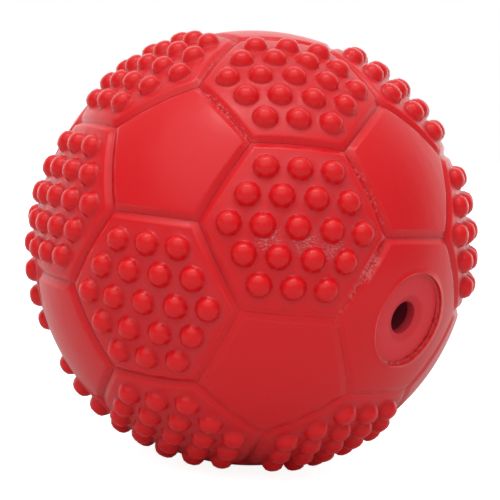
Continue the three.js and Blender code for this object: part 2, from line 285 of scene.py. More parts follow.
def add_node(
    tree: bpy.types.NodeTree,
    kind: str,
    inputs: Sequence | dict = (),
    **settings: object,
) -> bpy.types.Node:
    """Adds a node with its settings and its links.

    Args:
        tree: The node tree of a material or of the world.
        kind: The node's type.
        inputs: What goes into the node's sockets, in their order, or by their names or numbers: each
            is a value, an output to link, or a node whose first output in use is linked.
        **settings: The node's own settings.

    Returns:
        The node.
    """
    node = tree.nodes.new(kind)
    for name, value in settings.items():
        setattr(node, name, value)
    by_socket = inputs if isinstance(inputs, dict) else dict(enumerate(inputs))
    for socket, value in by_socket.items():
        if isinstance(value, bpy.types.Node):
            value = next(output for output in value.outputs if output.enabled)
        if isinstance(value, bpy.types.NodeSocket):
            tree.links.new(value, node.inputs[socket])
        else:
            node.inputs[socket].default_value = value
    return node


def nearness(
    tree: bpy.types.NodeTree,
    place: Output,
    spots: Sequence[Vector],
    reach: float,
) -> bpy.types.Node:
    """Makes a share that is 1 at each of some spots, as far as a quarter of their reach.

    Args:
        tree: The material's node tree.
        place: The place on the piece.
        spots: The spots, in millimetres.
        reach: The distance from a spot at which the share has fallen to 0.

    Returns:
        The node that gives the share.
    """
    nearest = 0.0
    for spot in spots:
        distance = add_node(tree, "ShaderNodeVectorMath", [place, spot * MM], operation="DISTANCE")
        near = add_node(tree, "ShaderNodeMapRange", [distance, reach / 4, reach, 1.0, 0.0])
        nearest = add_node(tree, "ShaderNodeMath", [nearest, near], operation="MAXIMUM")
    return nearest


@dataclass(frozen=True)
class Mottle:
    """An uneven pattern in a finish: a noise, and the shares that its levels stand for.

    The size is that of its largest features. More detail adds finer ones, more roughness makes those
    stronger, and distortion draws them out.
    """

    size: float
    levels: Span = (0.0, 1.0)
    shares: Span = (0.0, 1.0)
    detail: float = 4.0
    roughness: float = 0.6
    distortion: float = 0.0

    def noise(self, tree: bpy.types.NodeTree, place: Output) -> bpy.types.Node:
        """Adds the noise.

        Args:
            tree: The material's node tree.
            place: The place that the noise follows.

        Returns:
            The node that gives the noise, from 0 to 1.
        """
        inputs = {
            "Vector": place,
            "Scale": 1 / self.size,
            "Detail": self.detail,
            "Roughness": self.roughness,
            "Distortion": self.distortion,
        }
        return add_node(tree, "ShaderNodeTexNoise", inputs)

    def share(self, tree: bpy.types.NodeTree, place: Output) -> bpy.types.Node:
        """Adds the noise, with its levels turned into shares.

        Args:
            tree: The material's node tree.
            place: The place that the noise follows.

        Returns:
            The node that gives the share.
        """
        noise_range = [self.noise(tree, place), *self.levels, *self.shares]
        return add_node(tree, "ShaderNodeMapRange", noise_range)


@dataclass(frozen=True)
class Relief:
    """How a pattern stands out in the skin: the strength of its bump, and its depth."""

    strength: float
    depth: float


@dataclass(frozen=True)
class MouldedRubber:
    """Natural rubber, pressed in a steel mould: an even red with a low, satin sheen."""

    panel_red: str = "#E0131C"
    nub_red: str = "#E41219"
    # Painted shade: a darker red in the corner round each nub's foot and up its side
    foot_shade_red: str = "#A0101A"
    # Painted highlight: a paler red along the shoulders and the socket's lip
    edge_highlight_red: str = "#F0635E"
    bloom_pink: str = "#C0464E"
    scuff_pink: str = "#E3A0A4"
    flash_pink: str = "#EA7678"
    # Painted shade: a darker red towards the bottom of each groove
    groove_shade_red: str = "#9C1420"
    # Painted shade: a darker line in the crease at the bottom of each groove
    crease_shade_red: str = "#8A0E18"

    # Roughness of a panel, of a nub and of bloom, and the share of bloom that is as dull as bloom gets
    roughness: float = 0.31
    nub_roughness: float = 0.29
    bloom_roughness: float = 0.5
    dullest_bloom: float = 0.6
    ior: float = 1.5
    shine: float = 0.36

    # Heights that the colours follow: the nubs turn from one red to the other between two shares of
    # their height, and painted shade darkens a groove from half its depth down
    panel_radius: float = 35.9 * MM
    groove_depth: float = 0.57 * MM
    nub_height: float = 1.6 * MM
    nub_blend: Span = (0.1, 0.4)

    # Most that the painted shade at the foot's corner and at the groove's bottom may cover
    foot_shade_cover: float = 0.3
    groove_shade_cover: float = 0.3

    # Bloom of the mould's rough floor, in patches and in streaks within them
    patches: Mottle = Mottle(14 * MM, (0.4, 0.62), (0.25, 1.0), detail=2.0)
    streaks: Mottle = Mottle(
        1.3 * MM,
        (0.42, 0.72),
        (0.12, 0.6),
        detail=5.0,
        roughness=0.65,
        distortion=1.2,
    )

    # Painted shade in the crease at the bottom of a groove: the rags of its edges, the breaks along
    # it, and where it starts, when the attribute bank is 1 on a groove's banks and 2 at the very bottom
    rags: Mottle = Mottle(0.7 * MM, (0.3, 0.7), (-0.4, 0.4), detail=3.0)
    breaks: Mottle = Mottle(5 * MM, (0.4, 0.6), (0.15, 0.8), detail=2.0)
    crease_marks: Span = (1.2, 1.7)

    # Painted highlight: shoulders and lips are painted paler, here more and there less
    edge_highlight_mottle: Mottle = Mottle(6 * MM, (0.42, 0.66), (0.12, 0.7))

    # Scuffed spots of the floor, in millimetres, and the scratches there, which run mostly level
    scuffs: tuple[Vector, ...] = (
        Vector((5.4, -35.3, 3.9)),
        Vector((1.4, -35.6, 4.8)),
        Vector((-4.1, -35.4, 4.5)),
    )
    scuff_reach: float = 2.6 * MM
    scratches: Mottle = Mottle(0.8 * MM, (0.51, 0.63), (0.0, 0.75), distortion=2.0)
    scratch_run: Vector = Vector((1.0, 1.0, 3.0))

    # Torn flash along the seam: specks on stretches of it, which were trimmed closer low down
    specks: Mottle = Mottle(0.45 * MM, (0.52, 0.6), detail=3.0)
    stretches: Mottle = Mottle(7 * MM, (0.4, 0.54), detail=1.0)
    trim_heights: Span = (-10 * MM, -2 * MM)
    trim_shares: Span = (0.2, 0.85)

    # The rough patch of flash: its spots, in millimetres, and its flakes, which reach far from the seam
    rough_spots: tuple[Vector, ...] = (
        Vector((12.1, -33.6, 2.7)),
        Vector((11.3, -34.0, 0.9)),
    )
    rough_reach: float = 1.9 * MM
    flakes: Mottle = Mottle(0.45 * MM, (0.42, 0.54), (0.0, 0.9), detail=3.0)
    flake_marks: Span = (0.0, 0.25)

    # A moulded skin is never quite even: it has shallow, wide dents under a fine grain. The grain of
    # real rubber is about a tenth of a millimetre wide, and is drawn coarser, so that it shows
    dents: Mottle = Mottle(5 * MM, detail=2.0)
    grain: Mottle = Mottle(0.8 * MM)
    dent_relief: Relief = Relief(0.35, 0.25 * MM)
    grain_relief: Relief = Relief(0.1, 0.05 * MM)
    flash_relief: Relief = Relief(0.35, 0.12 * MM)

    def material(self) -> bpy.types.Material:
        """Builds the material.

        Returns:
            A material that reads the attributes bloom, foot, edge, flash and bank of the ball's skin.
        """
        material = bpy.data.materials.new("moulded_natural_rubber")
        tree = emptied_tree(material)
        place = add_node(tree, "ShaderNodeTexCoord").outputs["Object"]
        radius = add_node(tree, "ShaderNodeVectorMath", [place], operation="LENGTH")
        marks = {
            name: add_node(tree, "ShaderNodeAttribute", attribute_name=name).outputs["Fac"]
            for name in ("bloom", "foot", "edge", "flash", "bank")
        }
        nub_levels = (self.panel_radius + share * self.nub_height for share in self.nub_blend)
        on_nub = add_node(tree, "ShaderNodeMapRange", [radius, *nub_levels])
        bloom = self.bloom_share(tree, place, marks["bloom"])
        flash = self.flash_share(tree, place, marks["flash"])
        edge_highlight_mottle = self.edge_highlight_mottle.share(tree, place)
        painted_edge_highlight = add_node(tree, "ShaderNodeMath", [marks["edge"], edge_highlight_mottle], operation="MULTIPLY")
        foot_shade = add_node(tree, "ShaderNodeMath", [marks["foot"], self.foot_shade_cover], operation="MULTIPLY")

        # Each colour is laid over the ones before it, by the share of the skin that it covers
        layers = (
            (on_nub, self.nub_red),
            (bloom, self.bloom_pink),
            # Painted shade round each nub's foot
            (foot_shade, self.foot_shade_red),
            # Painted shade towards the bottom of each groove
            (self.groove_shade_share(tree, radius), self.groove_shade_red),
            # Painted shade in the crease at each groove's bottom
            (self.crease_shade_share(tree, place, marks["bank"]), self.crease_shade_red),
            # Painted highlight along shoulders and lips
            (painted_edge_highlight, self.edge_highlight_red),
            (self.scuff_share(tree, place, marks["bloom"]), self.scuff_pink),
            (flash, self.flash_pink),
        )
        colour = linear(self.panel_red)
        for share, over in layers:
            mix = {0: share, 6: colour, 7: linear(over)}
            colour = add_node(tree, "ShaderNodeMix", mix, data_type="RGBA")
        dull = add_node(tree, "ShaderNodeMapRange", [bloom, 0.0, self.dullest_bloom])
        clean_range = [on_nub, 0.0, 1.0, self.roughness, self.nub_roughness]
        clean = add_node(tree, "ShaderNodeMapRange", clean_range)
        roughness = {0: dull, 2: clean, 3: self.bloom_roughness}
        surface = add_node(
            tree,
            "ShaderNodeBsdfPrincipled",
            {
                "Base Color": colour,
                "Roughness": add_node(tree, "ShaderNodeMix", roughness),
                "IOR": self.ior,
                "Specular IOR Level": self.shine,
                "Normal": self.relief(tree, place, flash),
            },
        )
        add_node(tree, "ShaderNodeOutputMaterial", {"Surface": surface})
        return material

    def bloom_share(self, tree: bpy.types.NodeTree, place: Output, mark: Output) -> bpy.types.Node:
        """Makes the share of pale bloom, which lies between the nubs in patches and faint streaks.

        Args:
            tree: The material's node tree.
            place: The place on the ball.
            mark: The attribute bloom.

        Returns:
            The node that gives the share.
        """
        share = mark
        for mottle in (self.patches, self.streaks):
            factors = [share, mottle.share(tree, place)]
            share = add_node(tree, "ShaderNodeMath", factors, operation="MULTIPLY")
        return share

    def groove_shade_share(self, tree: bpy.types.NodeTree, radius: bpy.types.Node) -> bpy.types.Node:
        """Makes the share of painted shade, a darker red, towards the bottom of a groove.

        Args:
            tree: The material's node tree.
            radius: The distance from the ball's centre.

        Returns:
            The node that gives the share.
        """
        levels = (self.panel_radius - self.groove_depth, self.panel_radius - 0.5 * self.groove_depth)
        return add_node(tree, "ShaderNodeMapRange", [radius, *levels, self.groove_shade_cover, 0.0])

    def crease_shade_share(self, tree: bpy.types.NodeTree, place: Output, mark: Output) -> bpy.types.Node:
        """Makes the share of painted shade in the crease, ragged and broken, where the mould's plates
        meet.

        Args:
            tree: The material's node tree.
            place: The place on the ball.
            mark: The attribute bank.

        Returns:
            The node that gives the share.
        """
        rags = self.rags.share(tree, place)
        ragged = add_node(tree, "ShaderNodeMath", [mark, rags], operation="ADD")
        crease = add_node(tree, "ShaderNodeMapRange", [ragged, *self.crease_marks])
        breaks = self.breaks.share(tree, place)
        return add_node(tree, "ShaderNodeMath", [crease, breaks], operation="MULTIPLY")

    def scuff_share(self, tree: bpy.types.NodeTree, place: Output, mark: Output) -> bpy.types.Node:
        """Makes the share of the whitish scratches where the floor has been scuffed.

        Args:
            tree: The material's node tree.
            place: The place on the ball.
            mark: The attribute bloom, which keeps the scratches off the nubs.

        Returns:
            The node that gives the share.
        """
        along = add_node(tree, "ShaderNodeMapping", {"Vector": place, "Scale": self.scratch_run})
        scratches = self.scratches.share(tree, along)
        near = nearness(tree, place, self.scuffs, self.scuff_reach)
        scuffed = add_node(tree, "ShaderNodeMath", [near, mark], operation="MULTIPLY")
        return add_node(tree, "ShaderNodeMath", [scuffed, scratches], operation="MULTIPLY")

    def flash_share(self, tree: bpy.types.NodeTree, place: Output, mark: Output) -> bpy.types.Node:
        """Makes the share of torn flash: pink specks by the seam, and a rough patch of flakes.

        Args:
            tree: The material's node tree.
            place: The place on the ball.
            mark: The attribute flash, which is 1 at the seam.

        Returns:
            The node that gives the share.
        """
        height = add_node(tree, "ShaderNodeSeparateXYZ", [place]).outputs["Z"]
        trimmed = add_node(tree, "ShaderNodeMapRange", [height, *self.trim_heights, *self.trim_shares])
        specks = add_node(tree, "ShaderNodeMath", [mark, 2.0], operation="POWER")
        for share in (self.stretches.share(tree, place), self.specks.share(tree, place), trimmed):
            specks = add_node(tree, "ShaderNodeMath", [specks, share], operation="MULTIPLY")
        flakes = add_node(tree, "ShaderNodeMapRange", [mark, *self.flake_marks])
        rough = nearness(tree, place, self.rough_spots, self.rough_reach)
        for share in (self.flakes.share(tree, place), rough):
            flakes = add_node(tree, "ShaderNodeMath", [flakes, share], operation="MULTIPLY")
        return add_node(tree, "ShaderNodeMath", [specks, flakes], operation="MAXIMUM")

    def relief(self, tree: bpy.types.NodeTree, place: Output, flash: bpy.types.Node) -> bpy.types.Node:
        """Makes the fine relief of the skin, one pattern on another.

        Args:
            tree: The material's node tree.
            place: The place on the ball.
            flash: The share of torn flash, which stands up.

        Returns:
            The node that gives the surface's direction.
        """
        normal = {}
        for height, relief in (
            (self.dents.noise(tree, place), self.dent_relief),
            (self.grain.noise(tree, place), self.grain_relief),
            (flash, self.flash_relief),
        ):
            inputs = {"Height": height, "Strength": relief.strength, "Distance": relief.depth, **normal}
            normal = {"Normal": add_node(tree, "ShaderNodeBump", inputs)}
        return normal["Normal"]


@dataclass(frozen=True)
class MouldedPlastic:
    """A small injection-moulded or cut plastic piece, with a faint unevenness of its skin."""

    name: str
    colour: str
    shade: str
    roughness: float
    ior: float
    mottle: Mottle
    relief: Relief = Relief(0.1, 0.05 * MM)
    shine: float = 0.5

    # Painted shade deep inside a bore: a dark colour there, and a duller sheen
    bore_shade_colour: str = "#861A30"
    depth_roughness: float = 0.8
    dullest_depth: float = 0.5

    def material(self) -> bpy.types.Material:
        """Builds the material.

        Returns:
            A material that mottles between the colour and its shade, and has painted shade, a dark
            colour, where the attribute depth is set.
        """
        material = bpy.data.materials.new(self.name)
        tree = emptied_tree(material)
        place = add_node(tree, "ShaderNodeTexCoord").outputs["Object"]
        depth = add_node(tree, "ShaderNodeAttribute", attribute_name="depth").outputs["Fac"]
        mottle = self.mottle.noise(tree, place)
        colour = linear(self.colour)
        for share, over in ((mottle, self.shade), (depth, self.bore_shade_colour)):
            mix = {0: share, 6: colour, 7: linear(over)}
            colour = add_node(tree, "ShaderNodeMix", mix, data_type="RGBA")
        roughness = [depth, 0.0, self.dullest_depth, self.roughness, self.depth_roughness]
        relief = {"Height": mottle, "Strength": self.relief.strength, "Distance": self.relief.depth}
        surface = add_node(
            tree,
            "ShaderNodeBsdfPrincipled",
            {
                "Base Color": colour,
                "Roughness": add_node(tree, "ShaderNodeMapRange", roughness),
                "IOR": self.ior,
                "Specular IOR Level": self.shine,
                "Normal": add_node(tree, "ShaderNodeBump", relief),
            },
        )
        add_node(tree, "ShaderNodeOutputMaterial", {"Surface": surface})
        return material


# Pattern of the panels


class PanelKind(Enum):
    """The three kinds of panel on the ball."""

    PENTAGON = "smooth pentagon"
    NUBBED = "nubbed hexagon"
    SQUEAKER = "smooth hexagon with the squeaker"


@dataclass(frozen=True)
class Panel:
    """One panel: the directions of its centre and of its corners."""

    kind: PanelKind
    axis: Vector
    corners: tuple[Vector, ...]

    def placement(self) -> Matrix:
        """The turn that carries +Z onto the panel's centre and +X towards a corner."""
        across = (self.corners[0] - self.axis * self.corners[0].dot(self.axis)).normalized()
        return Matrix((across, self.axis.cross(across), self.axis)).transposed().to_4x4()


@dataclass(frozen=True)
class PanelPattern:
    """Twelve pentagons and twenty hexagons, spread as on a truncated icosahedron.

    The turns are those of the upper and the lower ring of pentagons, in degrees. The sides are
    directions near the hexagon that holds the squeaker and near the way in which the mould opens.
    """

    upper_turn: float = 18
    lower_turn: float = 54
    squeaker_side: Vector = Vector((math.cos(math.radians(-54)), math.sin(math.radians(-54)), -0.2))
    mould_side: Vector = Vector((math.cos(math.radians(-162)), math.sin(math.radians(-162)), -0.5))

    def centres(self) -> list[Vector]:
        """Finds where the pentagons lie.

        Returns:
            The directions of their centres, which are the corners of an icosahedron.
        """
        height, reach = 1 / math.sqrt(5), 2 / math.sqrt(5)
        centres = [Vector((0, 0, 1)), Vector((0, 0, -1))]
        for step in range(5):
            for turn, level in ((self.upper_turn, height), (self.lower_turn, -height)):
                angle = math.radians(turn + step * 360 / 5)
                centres.append(Vector((reach * math.cos(angle), reach * math.sin(angle), level)))
        return centres

    def are_neighbours(self, first: Vector, second: Vector) -> bool:
        """Whether two pentagons' centres are neighbours, by the length of an icosahedron's edge."""
        return abs((first - second).length - math.sqrt(2 - 2 / math.sqrt(5))) < 1e-5

    def corner_between(self, near: Vector, far: Vector) -> Vector:
        """The corner that lies a third of the way from one pentagon's centre to its neighbour's."""
        return near.lerp(far, 1 / 3).normalized()

    def panels(self) -> list[Panel]:
        """Finds every panel.

        Returns:
            The pentagons, and then the hexagons.
        """
        centres = self.centres()
        panels = []
        for axis in centres:
            neighbours = [other for other in centres if self.are_neighbours(axis, other)]
            corners = tuple(self.corner_between(axis, other) for other in neighbours)
            panels.append(Panel(PanelKind.PENTAGON, axis, corners))
        hexagons = []
        for a, b, c in combinations(centres, 3):
            if all(self.are_neighbours(*pair) for pair in combinations((a, b, c), 2)):
                pairs = ((a, b), (b, a), (b, c), (c, b), (c, a), (a, c))
                corners = tuple(self.corner_between(near, far) for near, far in pairs)
                hexagons.append(((a + b + c).normalized(), corners))
        hexagon_axes = (axis for axis, _ in hexagons)
        squeaker_axis = max(hexagon_axes, key=lambda axis: axis.dot(self.squeaker_side))
        for axis, corners in hexagons:
            kind = PanelKind.SQUEAKER if axis is squeaker_axis else PanelKind.NUBBED
            panels.append(Panel(kind, axis, corners))
        return panels

    def mould_axis(self) -> Vector:
        """The direction in which the mould opens."""
        return max(self.centres(), key=lambda axis: axis.dot(self.mould_side))


# Panels of the ball


@dataclass(frozen=True)
class PanelShapes:
    """Models each kind of panel once, over the ball's top, ready to be copied to its places."""

    panel_radius: float = 35.9 * MM
    wall_thickness: float = 3.5 * MM
    side_steps: int = 10

    # How far a corner lies from its panel's centre, in degrees seen from the ball's centre
    hexagon_corner: float = 23.8002
    pentagon_corner: float = 20.0768

    # From the shoulder to the bottom of a groove: distance from the groove's line, and depth
    shoulder: float = 1.5 * MM
    bank: tuple[Place, ...] = (
        (1.32 * MM, 0.01 * MM),
        (1.16 * MM, 0.05 * MM),
        (0.98 * MM, 0.13 * MM),
        (0.56 * MM, 0.38 * MM),
        (0.3 * MM, 0.5 * MM),
        (0.09 * MM, 0.57 * MM),
        (0.0, 0.62 * MM),
    )

    # Nubs: their lattice and their foot, and each ring's inset and rise from the foot to the top
    nub_pitch: float = 5.25 * MM
    nub_rows: int = 2
    foot_radius: float = 2.14 * MM
    foot_sides: int = 12
    nub_rings: tuple[Place, ...] = (
        (0.2 * MM, 0.08 * MM),
        (0.19 * MM, 0.54 * MM),
        (0.48 * MM, 0.62 * MM),
        (0.61 * MM, 0.27 * MM),
    )
    nub_crown: float = 0.07 * MM

    # Rings between a panel's outline and its centre, as shares of the outline's reach
    pentagon_rings: tuple[float, ...] = (1.0, 0.9, 0.75, 0.6, 0.45, 0.3, 0.15)
    inner_rings: tuple[float, ...] = (1.0, 0.66, 0.33)
    squeaker_rings: int = 5
    bridge_lift: float = 1 * MM

    # Socket of the squeaker: its flange seats in it with a gap, and the boss behind it is flared
    socket_radius: float = 7.5 * MM
    face_recess: float = 0.7 * MM
    flange_thickness: float = 1.6 * MM
    fit_gap: float = 0.3 * MM
    bore_radius: float = 5.3 * MM
    boss_thickness: float = 2.6 * MM
    boss_radius: float = 9.5 * MM
    boss_flare: float = 0.4 * MM

    # The lip round the socket's mouth: its width, and each ring's distance from its outer edge and
    # rise above that edge
    lip_width: float = 0.25 * MM
    lip: tuple[Place, ...] = (
        (0.06 * MM, 0.07 * MM),
        (0.15 * MM, 0.1 * MM),
        (0.22 * MM, 0.04 * MM),
        (0.25 * MM, -0.12 * MM),
    )

    # Marks that the finish reads: the edge's, a painted highlight, on a shoulder and on the lip, and
    # the foot's, painted shade, in the corner round a nub and up its side, where it fades out
    shoulder_highlight_mark: float = 0.22
    lip_highlight_mark: float = 1.4
    corner_shade_mark: float = 0.35
    corner_reach: float = 1.1
    foot_fade: float = 0.7 * MM
    floor_rise: float = 0.05 * MM

    @property
    def inner_radius(self) -> float:
        """Distance of the wall's inner surface from the ball's centre."""
        return self.panel_radius - self.wall_thickness

    @property
    def face_height(self) -> float:
        """Height of the squeaker's face along its axis, sunk below the mouth of the socket."""
        return math.sqrt(self.panel_radius**2 - self.socket_radius**2) - self.face_recess

    @property
    def socket_floor(self) -> float:
        """Height of the socket's floor, a gap below the flange."""
        return self.face_height - self.flange_thickness - self.fit_gap

    @property
    def boss_foot(self) -> float:
        """Height of the boss's inner face."""
        return self.socket_floor - self.boss_thickness

    def flat_corner(self, sides: int) -> float:
        """How far a panel's corner lies from its centre, on the plane over the centre."""
        angle = self.hexagon_corner if sides == 6 else self.pentagon_corner
        return self.panel_radius * math.tan(math.radians(angle))

    def flat_side(self, sides: int) -> float:
        """How far the middle of a panel's side lies from its centre, on that plane."""
        return self.flat_corner(sides) * math.cos(math.pi / sides)

    def wrapped(self, panel: Piece, radius: float) -> Piece:
        """Wraps a flat panel onto the ball.

        Args:
            panel: A panel modelled flat on a plane over the ball's centre.
            radius: The plane's height, which becomes the wrapped panel's radius.

        Returns:
            The same piece. What stood above the plane stands as high above the ball.
        """
        for point in panel.data.vertices:
            direction = Vector((point.co.x, point.co.y, radius)).normalized()
            point.co = direction * point.co.z
        return panel

    def outline(self, sides: int, reach: float, height: float) -> Piece:
        """Makes a ring of edges with a panel's outline, turned so that a corner points along +X.

        Args:
            sides: Sides of the panel.
            reach: Distance from the middle of the ring to its corners.
            height: Height of the ring.

        Returns:
            The ring.
        """
        ring = circle(sides, reach, height, turn=-math.pi / 2)
        with editing(ring):
            bpy.ops.mesh.select_all(action="SELECT")
            bpy.ops.mesh.subdivide(number_cuts=self.side_steps - 1)
        return ring

    def round_ring(self, radius: float, height: float) -> Piece:
        """Makes a round ring of edges with as many steps as a hexagon's outline."""
        return circle(6 * self.side_steps, radius, height)

    def with_banks(self, panel: Piece, sides: int) -> Piece:
        """Rolls a flat panel's edge over its shoulder, down to the bottom of the groove.

        Args:
            panel: The panel, flat and as wide as its shoulder.
            sides: Sides of the panel.

        Returns:
            The same piece.
        """
        side = self.flat_side(sides)
        reach, depth = side - self.shoulder, 0.0
        with editing(panel):
            pick("edges", lambda edge: all(
                self.on_outline(point.co, sides, reach) for point in edge.verts
            ))
            for distance, next_depth in self.bank:
                grow_edge((side - distance) / reach, depth - next_depth)
                reach, depth = side - distance, next_depth
        self.mark_shoulder(panel, sides)
        return panel

    def mark_shoulder(self, panel: Piece, sides: int) -> None:
        """Marks a flat panel's shoulder and its banks, in the attributes edge and bank.

        The edge is marked where the finish paints a highlight along the shoulder. The bank is 1 all down
        the bank, and 2 at the very bottom of the groove.

        Args:
            panel: The panel, flat, with its banks.
            sides: Sides of the panel.
        """
        edge, bank = marks_on(panel, "edge", "bank")
        reaches = [self.flat_side(sides) - distance for distance, _ in self.bank]
        for point in panel.data.vertices:
            if self.on_outline(point.co, sides, reaches[1]):
                edge.data[point.index].value = self.shoulder_highlight_mark
            if any(self.on_outline(point.co, sides, reach) for reach in reaches):
                at_bottom = self.on_outline(point.co, sides, reaches[-1])
                bank.data[point.index].value = 2.0 if at_bottom else 1.0

    def on_outline(self, point: Vector, sides: int, side_reach: float) -> bool:
        """Says whether a point lies on an outline round the Z axis.

        Args:
            point: The point.
            sides: Sides of the outline.
            side_reach: Distance from the axis to the middle of a side.

        Returns:
            Whether the point lies on one of the sides.
        """
        step = 2 * math.pi / sides
        turn = (math.atan2(point.y, point.x) % step) - step / 2
        return abs(math.hypot(point.x, point.y) * math.cos(turn) - side_reach) < TOUCH

    def shoulder_outline(self, sides: int) -> Piece:
        """Makes the outline of a panel's shoulder, on the plane over its centre."""
        reach = (self.flat_side(sides) - self.shoulder) / math.cos(math.pi / sides)
        return self.outline(sides, reach, self.panel_radius)

    def fill(self, ring: Piece, shares: Sequence[float]) -> None:
        """Fills a ring of edges, ring by ring, towards its centre.

        Args:
            ring: The ring, which becomes a flat sheet.
            shares: The reach of each ring as a share of the first, which is 1.
        """
        with editing(ring):
            bpy.ops.mesh.select_all(action="SELECT")
            for last, share in pairwise(shares):
                grow_edge(share / last, 0)
            bpy.ops.mesh.edge_face_add()
            bpy.ops.mesh.poke()

    def bridged(self, name: str, inner: Piece, outer: Piece, cuts: int = 0) -> Piece:
        """Bridges two flat rings of edges that lie one inside the other.

        The outer ring is lifted meanwhile. Where both rings have the same centre, a bridge can't tell
        which way round they run, and may twist.

        Args:
            name: The sheet's name.
            inner: The inner ring, or a sheet that ends in it.
            outer: The outer ring, at the same height.
            cuts: How many rings of points are added in between.

        Returns:
            The sheet, flat.
        """
        height = outer.data.vertices[0].co.z
        outer.data.transform(Matrix.Translation(UP * self.bridge_lift))
        sheet = joined(name, [inner, outer])
        with editing(sheet):
            pick("edges", lambda edge: edge.is_boundary or edge.is_wire)
            bpy.ops.mesh.bridge_edge_loops(number_cuts=cuts, interpolation="LINEAR")
        for point in sheet.data.vertices:
            point.co.z = height
        return sheet

    def inner_outline(self, sides: int) -> Piece:
        """Makes the outline of a panel's inner surface, on the plane at the inner radius."""
        shrink = self.inner_radius / self.panel_radius
        return self.outline(sides, self.flat_corner(sides) * shrink, self.inner_radius)

    def inner_sheet(self, sides: int) -> Piece:
        """Models a panel's inner surface, down to the seam.

        Args:
            sides: Sides of the panel.

        Returns:
            The sheet, wrapped at the inner radius.
        """
        sheet = self.inner_outline(sides)
        self.fill(sheet, self.inner_rings)
        return self.wrapped(sheet, self.inner_radius)

    def pentagon(self) -> Piece:
        """Models a smooth pentagon.

        Returns:
            The panel, with its inner surface and without the wall between them.
        """
        panel = self.shoulder_outline(5)
        self.fill(panel, self.pentagon_rings)
        panel = self.wrapped(self.with_banks(panel, 5), self.panel_radius)
        return joined("pentagon_panel", [panel, self.inner_sheet(5)])

    def lattice(self) -> list[Vector]:
        """Finds where the nubs stand.

        Returns:
            Their places on the plane over a hexagon's centre, as offsets from that centre.
        """
        rows = range(-self.nub_rows, self.nub_rows + 1)
        places = [(column, row) for column in rows for row in rows if abs(column + row) <= self.nub_rows]
        lean = math.radians(60)
        return [
            Vector((column + row * math.cos(lean), row * math.sin(lean), 0)) * self.nub_pitch
            for column, row in places
        ]

    def floor_tile(self) -> Piece:
        """Models a tile of the floor round one nub.

        Returns:
            The tile, six-sided with a point in the middle of each side, and with a face of its own
            for the nub's foot.
        """
        corner = self.nub_pitch / math.sqrt(3)
        tile = circle(self.foot_sides, corner, self.panel_radius, fill="NGON")
        with editing(tile, "FACE"):
            bpy.ops.mesh.select_all(action="SELECT")
            margin = (corner - self.foot_radius) * math.cos(math.pi / self.foot_sides)
            bpy.ops.mesh.inset(thickness=margin)
        with editing(tile, "VERT"):
            pick("verts", lambda vert: (
                vert.co.xy.length > corner - TOUCH and self.faces_neighbour(vert.co)
            ))
            flatten = math.cos(math.pi / 6)
            bpy.ops.transform.resize(value=(flatten, flatten, 1), center_override=(0, 0, 0))
        return tile

    def faces_neighbour(self, point: Vector) -> bool:
        """Whether a point of the floor tile lies in the direction of a neighbouring nub."""
        return round(math.degrees(math.atan2(point.y, point.x))) % 60 == 0

    def tile_at(self, tile: Piece, place: Vector) -> Piece:
        """Copies the floor tile to a nub's place, with the foot widened by what wrapping narrows it.

        Args:
            tile: The tile.
            place: The nub's place, as an offset from the panel's centre.

        Returns:
            The copy.
        """
        lean = math.atan(place.length / self.panel_radius)
        widen = 2 / (math.cos(lean) + math.cos(lean) ** 2)
        copy = copied(tile, Matrix.Identity(4))
        with editing(copy, "FACE"):
            pick("faces", lambda face: len(face.verts) == self.foot_sides)
            bpy.ops.transform.resize(value=(widen, widen, 1), center_override=(0, 0, 0))
        copy.data.transform(Matrix.Translation(place))
        return copy

    def nubbed_hexagon(self) -> Piece:
        """Models a hexagon with its field of nubs, each raised from the floor ring by ring.

        Returns:
            The panel, with its inner surface and without the wall between them.
        """
        tile = self.floor_tile()
        field = joined("nub_field", [self.tile_at(tile, place) for place in self.lattice()])
        bpy.data.objects.remove(tile)
        panel = self.bridged("nubbed_panel", field, self.shoulder_outline(6))
        with editing(panel, "FACE"):
            pick("faces", lambda face: len(face.verts) == self.foot_sides)
            for inset, rise in self.nub_rings:
                bpy.ops.mesh.inset(thickness=inset, depth=rise, use_individual=True)
            bpy.ops.mesh.poke(offset=self.nub_crown)
        self.mark_floor(panel)
        panel = self.wrapped(self.with_banks(panel, 6), self.panel_radius)
        return joined("nubbed_panel", [panel, self.inner_sheet(6)])

    def mark_floor(self, panel: Piece) -> None:
        """Marks the floor between the nubs, and the corner round each nub's foot, where painted shade
        lies.

        Args:
            panel: The nubbed panel, flat, which gets the attributes bloom and foot.
        """
        bloom, foot = marks_on(panel, "bloom", "foot")
        edge = self.flat_side(6) - self.shoulder
        places = self.lattice()
        for point in panel.data.vertices:
            rise = point.co.z - self.panel_radius
            # Painted shade: the foot mark fades up the nub's side, and lies in the corner on the floor
            # round it
            if rise > self.floor_rise:
                foot.data[point.index].value = max(0.0, 1 - rise / self.foot_fade)
                continue
            bloom.data[point.index].value = 0.0 if self.on_outline(point.co, 6, edge) else 1.0
            near = min((point.co.xy - place.xy).length for place in places)
            if near < self.corner_reach * self.foot_radius:
                foot.data[point.index].value = self.corner_shade_mark

